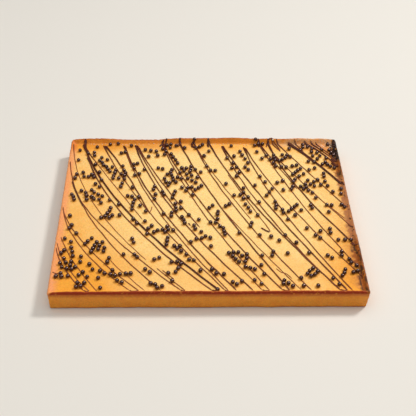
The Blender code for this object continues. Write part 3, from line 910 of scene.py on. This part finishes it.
# %% [markdown]
# ## The pearls
#
# The pearls were thrown by hand while the chocolate was soft. A handful lands as a loose string and
# crowds, and single ones roll on their own. So each handful has a start, an end and a count, and
# every pearl looks for room close to its place along it. The rest fall anywhere that is free.
# Spacings and strays are shares of a pearl's diameter.

# %% Handfuls
HANDFULS = (
    ((-121, 95), (-115, 91), 2), ((-123, 89), (-113, 73), 5), ((-109, 77), (-110, 69), 2),
    ((-99, 104), (-95, 106), 2), ((-70, 110), (-57, 107), 3), ((-66, 97), (-57, 99), 2),
    ((-45, 120), (-38, 124), 3), ((-42, 114), (-37, 117), 2), ((-46, 107), (-48, 101), 2),
    ((-40, 102), (-32, 84), 4), ((-54, 74), (-50, 73), 2), ((-27, 75), (-15, 73), 4),
    ((-10, 114), (-2, 120), 3), ((5, 107), (-1, 99), 2), ((42, 107), (50, 85), 4),
    ((37, 77), (31, 74), 2), ((47, 76), (50, 71), 2), ((61, 120), (70, 123), 3),
    ((82, 100), (83, 87), 4), ((68, 93), (77, 92), 2), ((92, 101), (100, 99), 3),
    ((95, 95), (88, 88), 3), ((83, 79), (95, 76), 3), ((107, 81), (102, 78), 2),
    ((111, 74), (102, 63), 4), ((119, 121), (117, 113), 3), ((124, 117), (129, 113), 2),
    ((128, 107), (134, 105), 2), ((129, 98), (133, 91), 2), ((137, 99), (137, 94), 2),
    ((122, 88), (128, 86), 2), ((139, 85), (151, 75), 4), ((149, 111), (154, 101), 3),
    ((-148, 62), (-149, 56), 2), ((-139, 59), (-130, 58), 4), ((-125, 45), (-120, 40), 2),
    ((-95, 46), (-96, 40), 2), ((-103, 70), (-106, 56), 4), ((-95, 70), (-92, 59), 4),
    ((-97, 63), (-99, 55), 2), ((-81, 61), (-76, 64), 2), ((-151, 27), (-147, 18), 3),
    ((-135, 29), (-133, 17), 3), ((-129, 34), (-125, 30), 2), ((-128, 22), (-125, 18), 2),
    ((-120, 26), (-116, 23), 2), ((-119, 18), (-117, 11), 2), ((-88, 23), (-75, 21), 4),
    ((-58, 40), (-59, 34), 2), ((-57, 26), (-58, 18), 2), ((-44, 63), (-38, 67), 3),
    ((-39, 62), (-33, 45), 5), ((-34, 57), (-29, 55), 2), ((-47, 55), (-43, 43), 3),
    ((-25, 69), (-20, 61), 4), ((-20, 70), (-15, 61), 4), ((-20, 55), (-11, 48), 3),
    ((-5, 41), (-12, 35), 3), ((-27, 38), (-17, 37), 4), ((-35, 31), (-38, 23), 3),
    ((-49, 31), (-47, 26), 2), ((7, 70), (11, 70), 2), ((39, 66), (36, 59), 2),
    ((43, 37), (42, 30), 2), ((38, 25), (32, 24), 2), ((42, 18), (47, 21), 2),
    ((75, 36), (68, 24), 3), ((82, 47), (88, 51), 2), ((97, 36), (99, 40), 2),
    ((109, 59), (114, 64), 2), ((103, 53), (100, 49), 2), ((108, 41), (111, 36), 2),
    ((114, 44), (116, 33), 4), ((119, 43), (127, 51), 4), ((120, 29), (123, 21), 2),
    ((137, 64), (137, 59), 2), ((137, 49), (139, 42), 2), ((154, 35), (152, 28), 2),
    ((-105, 3), (-107, -6), 3), ((-103, -10), (-114, -13), 4), ((-81, 11), (-82, 0), 3),
    ((-80, -16), (-76, -23), 2), ((-63, -40), (-57, -38), 2), ((-34, 10), (-34, -2), 3),
    ((-28, 14), (-28, 2), 2), ((-39, -4), (-38, -11), 2), ((-27, -12), (-24, -19), 3),
    ((-14, -26), (-13, -32), 2), ((4, -22), (9, -22), 2), ((14, -28), (20, -40), 4),
    ((21, 6), (26, 9), 2), ((12, -4), (12, -12), 3), ((49, -23), (47, -28), 2),
    ((43, 9), (48, -3), 3), ((-53, -35), (-42, -30), 4), ((-45, -36), (-37, -34), 2),
    ((77, 13), (77, 2), 3), ((83, -1), (84, -6), 2), ((101, 8), (91, -1), 4),
    ((150, 8), (154, 5), 2), ((132, -33), (132, -38), 2), ((115, -43), (119, -47), 2),
    ((-143, -61), (-139, -74), 3), ((-152, -85), (-148, -78), 2), ((-146, -84), (-138, -87), 4),
    ((-149, -91), (-139, -94), 4), ((-154, -103), (-148, -103), 2), ((-129, -56), (-122, -47), 3),
    ((-117, -53), (-121, -68), 4), ((-114, -58), (-114, -64), 2), ((-111, -53), (-108, -67), 3),
    ((-102, -77), (-103, -83), 2), ((-110, -96), (-106, -100), 2), ((-97, -96), (-99, -102), 2),
    ((-95, -103), (-79, -100), 4), ((-76, -72), (-74, -76), 2), ((-65, -94), (-60, -98), 2),
    ((-42, -46), (-43, -57), 3), ((-35, -59), (-29, -59), 2), ((-32, -63), (-23, -72), 3),
    ((-20, -80), (-16, -80), 2), ((-29, -86), (-34, -98), 3), ((4, -94), (8, -100), 2),
    ((-12, -48), (-3, -45), 4), ((22, -71), (31, -83), 4), ((26, -69), (28, -78), 2),
    ((33, -69), (35, -74), 2), ((39, -76), (39, -81), 2), ((38, -90), (47, -94), 3),
    ((68, -69), (66, -74), 2), ((107, -94), (100, -99), 3), ((111, -98), (104, -104), 3),
    ((139, -50), (152, -50), 3), ((140, -68), (139, -74), 2), ((146, -80), (149, -88), 3),
    ((140, -95), (136, -103), 3), ((147, -99), (153, -97), 2), ((-131, -113), (-125, -117), 4),
    ((-58, -115), (-48, -119), 4), ((24, -112), (29, -117), 3), ((76, -111), (81, -117), 4),
    ((-145, -89), (-139, -83), 5), ((-148, 109), (-148, 90), 2), ((-128, 82), (-122, 67), 2),
    ((-141, 67), (-140, 32), 2),
)
print(sum(count for _, _, count in HANDFULS), "pearls fell in handfuls")

# %% Places of the pearls
PEARL_DIAMETER = 4.7 * MM
PEARL_SINK = 0.6 * MM
PEARL_SPACING, SINGLE_SPACING = 1.0, 1.6
PEARL_MARGIN = 6.2 * MM
RIM_PEARLS = ((-12, 126), (62, 126))
PEARL_COUNT = 505
PAIR_SHARE = 0.12
PAIR_SPACING = (1.05, 1.3)
STRAY, STRAY_GROWTH = 0.08, 1.15
PEARL_SEED = 11


def pearl_places():
    """Where the pearls lie: the handfuls first, then single ones and pairs over the whole top."""
    draw = random.Random(PEARL_SEED)
    places = [(x * MM, y * MM) for x, y in RIM_PEARLS]

    def drop(x, y, spacing):
        nearest = min(math.hypot(x - a, y - b) for a, b in places)
        fits = edge_distance(x, y) > PEARL_MARGIN and nearest > spacing * PEARL_DIAMETER
        if fits:
            places.append((x, y))
        return fits

    for start, end, count in HANDFULS:
        start, end = Vector(start) * MM, Vector(end) * MM
        for number in range(count):
            place = start.lerp(end, number / (count - 1))
            stray = STRAY * PEARL_DIAMETER
            while not drop(draw.gauss(place.x, stray), draw.gauss(place.y, stray), PEARL_SPACING):
                stray *= STRAY_GROWTH
    while len(places) < PEARL_COUNT:
        x = draw.uniform(-WIDTH / 2, WIDTH / 2)
        y = draw.uniform(-DEPTH / 2, DEPTH / 2)
        if drop(x, y, SINGLE_SPACING) and draw.random() < PAIR_SHARE:
            angle = draw.uniform(0, 2 * math.pi)
            reach = PEARL_DIAMETER * draw.uniform(*PAIR_SPACING)
            drop(x + reach * math.cos(angle), y + reach * math.sin(angle), PEARL_SPACING)
    return places


places = pearl_places()
print(len(places), "pearls")

# %% [markdown]
# A pearl is a ball rolled in chocolate, so it is nearly round but never quite. Each one has eighty
# faces with smooth shading, which is plenty at this size, and its size, stretch, turn and depth in
# the caramel come from the seeded draw.


# %% Balls
PEARL_SIZES, PEARL_STRETCHES = (0.92, 1.04), (0.95, 1.04)
PEARL_DEPTHS = (0.6, 1.0)  # how deep they sank, as shares of PEARL_SINK


def make_pearls():
    draw = random.Random(PEARL_SEED + 1)
    shape = bmesh.new()
    for x, y in places:
        radius = PEARL_DIAMETER / 2 * draw.uniform(*PEARL_SIZES)
        height = top_height(x, y) + radius - PEARL_SINK * draw.uniform(*PEARL_DEPTHS)
        axes = [draw.uniform(*PEARL_STRETCHES) for _ in range(3)]
        angle, axle = draw.uniform(0, 2 * math.pi), Vector((draw.random(), draw.random(), 1))
        turn = Matrix.Rotation(angle, 4, axle)
        matrix = Matrix.Translation((x, y, height)) @ turn @ Matrix.Diagonal((*axes, 1))
        bmesh.ops.create_icosphere(shape, subdivisions=2, radius=radius, matrix=matrix)
    return shape


# %% [markdown]
# The pearls are the glossiest thing on the slab: a dark coat polished to a small bright highlight
# with a reddish tinge. Two patterns a little larger than a pearl make one ball browner or duller
# than the next, and a fine one keeps the highlight from being a perfect dot.

# %% Material of the pearls
PEARL_DARK, PEARL_BROWN = paint(32, 9, 4), paint(46, 15, 7)
PLAIN_NOISE_MIDDLE = (0.35, 0.65)  # a noise without fine detail keeps to these
GLOSS_TINT, GLOSS_IOR = (1.0, 0.68, 0.62, 1), 1.62


def make_pearl_chocolate():
    material, nodes, links, shader = new_material("pearl_chocolate")
    tone = noise_texture(nodes, links, 6 * MM, 1.0)
    share = remap(nodes, links, tone, *PLAIN_NOISE_MIDDLE, 0.0, 1.0)
    colour = blend_colours(nodes, links, share, (*PEARL_DARK, 1), (*PEARL_BROWN, 1))
    links.new(colour, shader.inputs["Base Color"])
    worn = noise_texture(nodes, links, 11 * MM, 1.0)
    links.new(remap(nodes, links, worn, *PLAIN_NOISE_MIDDLE, 0.15, 0.3), shader.inputs["Roughness"])
    shader.inputs["Specular IOR Level"].default_value = 1.0
    shader.inputs["Specular Tint"].default_value = GLOSS_TINT
    shader.inputs["IOR"].default_value = GLOSS_IOR
    lumps = noise_texture(nodes, links, 1.3 * MM, 2.0)
    add_bump(nodes, links, shader, ((lumps, 0.02 * MM),))
    return material


add_piece(make_pearls(), "pearls", make_pearl_chocolate())

# %% [markdown]
# The caramel beside a pearl looks a deeper orange on the near side, where the ball keeps the light
# off it. A drop of that orange is added to the colour layer there, for every pearl.

# %% Warm shade beside the pearls
SHADE_ORANGE = paint(242, 158, 50)
SHADE_OFFSET = Vector((-0.5, -1.4)) * MM
SHADE_INNER, SHADE_OUTER = 1.8 * MM, 4.4 * MM
SHADE_SHARE = 0.65


def shade_caramel():
    """Adds the orange to every point of the slab that lies close to a pearl's near side."""
    colours = slab.data.attributes["baked_colour"].data
    points = [vertex.co for vertex in slab.data.vertices]
    tree = kdtree.KDTree(len(points))
    for number, point in enumerate(points):
        tree.insert((point.x, point.y, 0), number)
    tree.balance()
    for place in places:
        middle = Vector(place) + SHADE_OFFSET
        for _, number, distance in tree.find_range((*middle, 0), SHADE_OUTER):
            share = SHADE_SHARE * fade(SHADE_INNER, SHADE_OUTER, distance)
            colour = Vector(colours[number].color[:3]).lerp(SHADE_ORANGE, share)
            colours[number].color = (*colour, 1)


shade_caramel()

# %% [markdown]
# ## Beads of syrup and crumbs
#
# Syrup boiled up along the foot of the far rim and set there as a row of tiny pale beads, and more
# of it, with sugar, dried over the far right corner; the beads' near-white colour is partly a
# painted glint. A bead of about a millimetre needs only the plainest ball. One larger bead on the
# rim itself is a painted highlight, a pale spot where the rim shines.

# %% Beads of syrup
BEAD_RADIUS = (0.35 * MM, 0.75 * MM)
BEAD_STRETCHES = ((-142, -28), (8, 88))
BEAD_STEP = (1.6, 6.5)
BEAD_STRAY = (-1.2, 1.4)
# The larger bead on the rim is a painted highlight, a pale glint on the crust.
GLINT_BEAD = (83, 126.3, 1.3)  # its place and radius, in millimetres
BEAD_LIFT = 0.3  # how far its middle lies over the top, as a share of its radius
CORNER_BEADS, CORNER_BEAD_SIZE = 420, 0.5
BEAD_SEED = 29


def bead_places(draw):
    """Places and radii: along the rim's foot, the one on the rim, and over the corner."""
    beads = [[part * MM for part in GLINT_BEAD]]
    for start, end in BEAD_STRETCHES:
        x = start
        while x < end:
            y = DEPTH / 2 - RIM_WIDTH - draw.uniform(*BEAD_STRAY) * MM
            beads.append((x * MM, y, draw.uniform(*BEAD_RADIUS)))
            x += draw.uniform(*BEAD_STEP)
    for _ in range(CORNER_BEADS):
        x = WIDTH / 2 - (6 + 52 * draw.random() ** 1.5) * MM
        y = DEPTH / 2 - (1.5 + 11 * draw.random() ** 1.3) * MM
        beads.append((x, y, CORNER_BEAD_SIZE * draw.uniform(*BEAD_RADIUS)))
    return beads


def make_beads():
    draw = random.Random(BEAD_SEED)
    shape = bmesh.new()
    for x, y, radius in bead_places(draw):
        matrix = Matrix.Translation((x, y, top_height(x, y) + radius * BEAD_LIFT))
        bmesh.ops.create_icosphere(shape, subdivisions=1, radius=radius, matrix=matrix)
    return shape


# Near-white, glossy beads: the colour is partly a painted glint.
def make_syrup_glint():
    material, _, _, shader = new_material("set_syrup_glint")
    shader.inputs["Base Color"].default_value = (*paint(246, 224, 192), 1)
    shader.inputs["Roughness"].default_value = 0.2
    return material


add_piece(make_beads(), "beads", make_syrup_glint())

# %% [markdown]
# The right side stuck to the tin, so dark crumbs of crust are left along it, most of them in the far
# corner. A crumb is a ball that was squashed, turned and dented by noise.

# %% Crumbs
CORNER_CRUMBS, CORNER_CRUMB_RADIUS = 46, (0.6, 1.4)  # radii in millimetres
LIP_CRUMBS, LIP_CRUMB_RADIUS = 34, (0.35, 0.8)
CRUMB_LONG, CRUMB_WIDE, CRUMB_HIGH = (0.8, 1.3), (0.7, 1.0), 0.75
CRUMB_LIFT = 0.25  # how far its middle lies over the top, as a share of its radius
DENT, DENT_LENGTH = 0.35, 1.3 * MM
CRUMB_SEED = 31


def crumb_places(draw):
    """Places and radii: crowded in the far right corner, then sparse along the lip."""
    crumbs = []
    for _ in range(CORNER_CRUMBS):
        x = WIDTH / 2 - (2.6 + 8 * draw.random() ** 1.6) * MM
        y = DEPTH / 2 - (3 + 34 * draw.random()) * MM
        crumbs.append((x, y, draw.uniform(*CORNER_CRUMB_RADIUS) * MM))
    for _ in range(LIP_CRUMBS):
        x = WIDTH / 2 - draw.uniform(2, 5.5) * MM
        y = draw.uniform(-DEPTH / 2 + 8 * MM, DEPTH / 2 - 36 * MM)
        crumbs.append((x, y, draw.uniform(*LIP_CRUMB_RADIUS) * MM))
    return crumbs


def make_crumbs():
    draw = random.Random(CRUMB_SEED)
    shape = bmesh.new()
    for x, y, radius in crumb_places(draw):
        place = Vector((x, y, top_height(x, y) + radius * CRUMB_LIFT))
        turn = Matrix.Rotation(draw.uniform(0, 2 * math.pi), 4, "Z")
        long, wide = draw.uniform(*CRUMB_LONG), draw.uniform(*CRUMB_WIDE)
        squash = Matrix.Diagonal((long, wide, CRUMB_HIGH, 1))
        matrix = Matrix.Translation(place) @ turn @ squash
        ball = bmesh.ops.create_icosphere(shape, subdivisions=2, radius=radius, matrix=matrix)
        for vertex in ball["verts"]:
            dent = 1 + DENT * noise_at(*vertex.co, DENT_LENGTH)
            vertex.co = place + (vertex.co - place) * dent
    return shape


def make_crumb_crust():
    material, nodes, links, shader = new_material("crumb_crust")
    tone = remap(nodes, links, noise_texture(nodes, links, 4 * MM), 0.4, 0.6, 0.0, 1.0)
    colour = blend_colours(nodes, links, tone, (*NEAR_BLACK, 1), (*DEEP_BROWN, 1))
    links.new(colour, shader.inputs["Base Color"])
    shader.inputs["Roughness"].default_value = 0.55
    return material


add_piece(make_crumbs(), "crumbs", make_crumb_crust())

# %% [markdown]
# ## Stage and light
#
# The slab lies on a plain pale floor. The light is that of a bright room: a wide soft ceiling
# lamp gives most of it, a small one behind and to the right stands for a window and puts the
# shine on the upper side of each pearl, and an even glow comes from all round.


# %% Floor
FLOOR_REACH = 6


def make_floor():
    shape = bmesh.new()
    bmesh.ops.create_grid(shape, x_segments=1, y_segments=1, size=FLOOR_REACH)
    mesh = bpy.data.meshes.new("floor")
    shape.to_mesh(mesh)
    shape.free()
    material, _, _, shader = new_material("pale_floor")
    shader.inputs["Base Color"].default_value = (*paint(228, 224, 216), 1)
    shader.inputs["Roughness"].default_value = 0.7
    mesh.materials.append(material)
    floor = bpy.data.objects.new("floor", mesh)
    bpy.context.scene.collection.objects.link(floor)


make_floor()


# %% Lamps
DAYLIGHT = (1.0, 0.985, 0.965)
GLOW = 0.15


def add_lamp(name, place, size, power):
    """A square soft lamp that faces the slab."""
    lamp_data = bpy.data.lights.new(name, "AREA")
    lamp_data.size = size
    lamp_data.energy = power
    lamp_data.color = DAYLIGHT
    lamp = bpy.data.objects.new(name, lamp_data)
    lamp.location = place
    lamp.rotation_euler = Vector(place).to_track_quat("Z", "Y").to_euler()
    bpy.context.scene.collection.objects.link(lamp)


add_lamp("ceiling", (-0.15, -0.15, 1.7), 2.6, 26)
add_lamp("window", (1.5, 0.9, 2.1), 0.5, 41)
world = bpy.data.worlds.new("room")
world.use_nodes = True
background = world.node_tree.nodes["Background"]
background.inputs["Color"].default_value = (*DAYLIGHT, 1)
background.inputs["Strength"].default_value = GLOW
bpy.context.scene.world = world
bpy.context.scene.view_settings.view_transform = "Standard"
